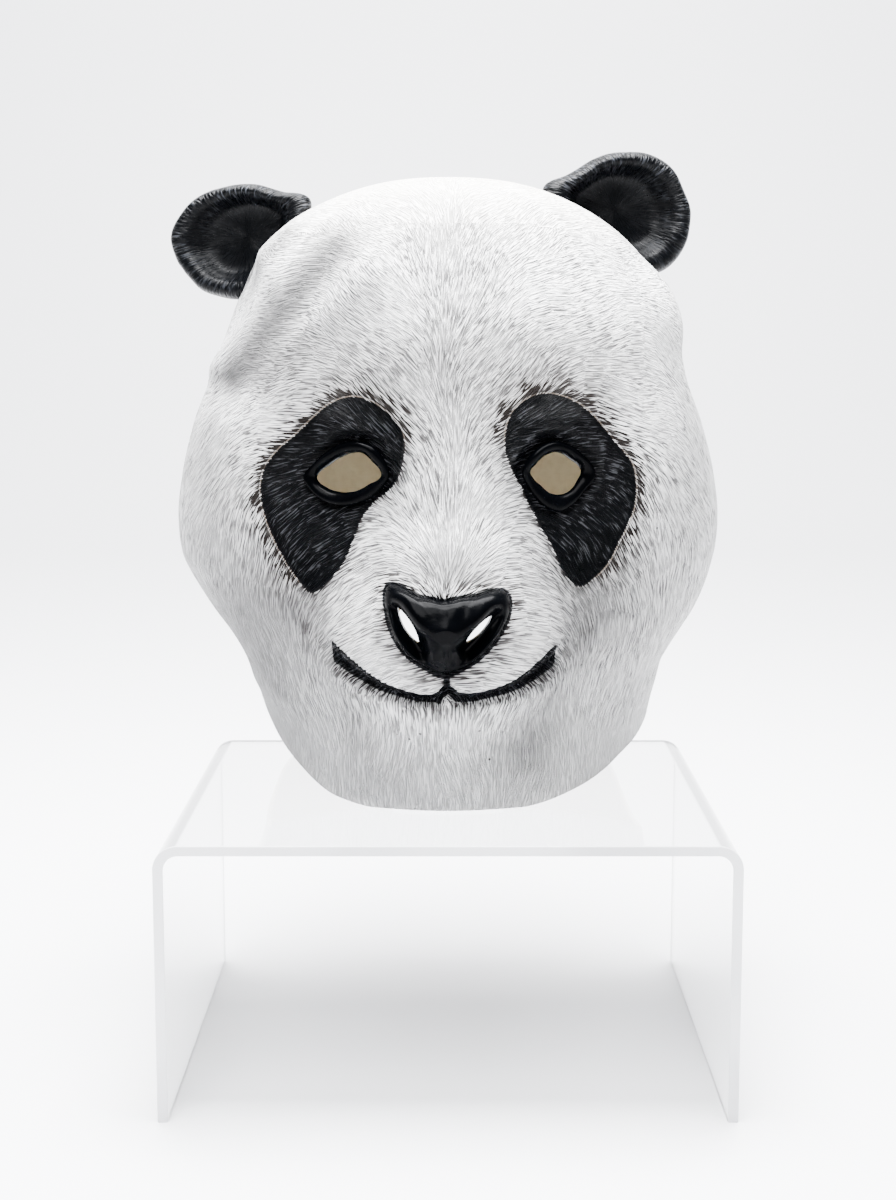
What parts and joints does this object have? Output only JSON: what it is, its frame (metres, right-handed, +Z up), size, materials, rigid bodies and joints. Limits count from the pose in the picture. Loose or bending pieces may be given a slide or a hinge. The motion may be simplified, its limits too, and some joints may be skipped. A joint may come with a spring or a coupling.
{
  "type": "panda mask with its clear display riser",
  "caption": "Full-head latex panda mask with eye holes, nostril slots and an open neck, standing on a clear bent-sheet riser.",
  "frame": {"origin": "middle of the whole object's box, on the surface under the riser's feet", "axes": "+Z up, the mask's face looks towards -Y, +X is on the right of someone who faces it"},
  "size_m": [0.252, 0.2594, 0.3988],
  "materials": {
    "latex_white": "satin white latex with fine moulded fur strokes and a thin brown-black wash in the recesses",
    "latex_black": "satin black paint on latex with silver-grey stroke highlights",
    "nose_gloss": "glossy black paint on latex, on the nose and the lids",
    "latex_bare": "bare beige latex of the inside and the cut edges, matte",
    "clear_acrylic": "clear polished acrylic sheet with brighter sawn edges"
  },
  "bodies": {
    "root": {"mask": "latex_white", "riser": "clear_acrylic"}
  },
  "joints": []
}
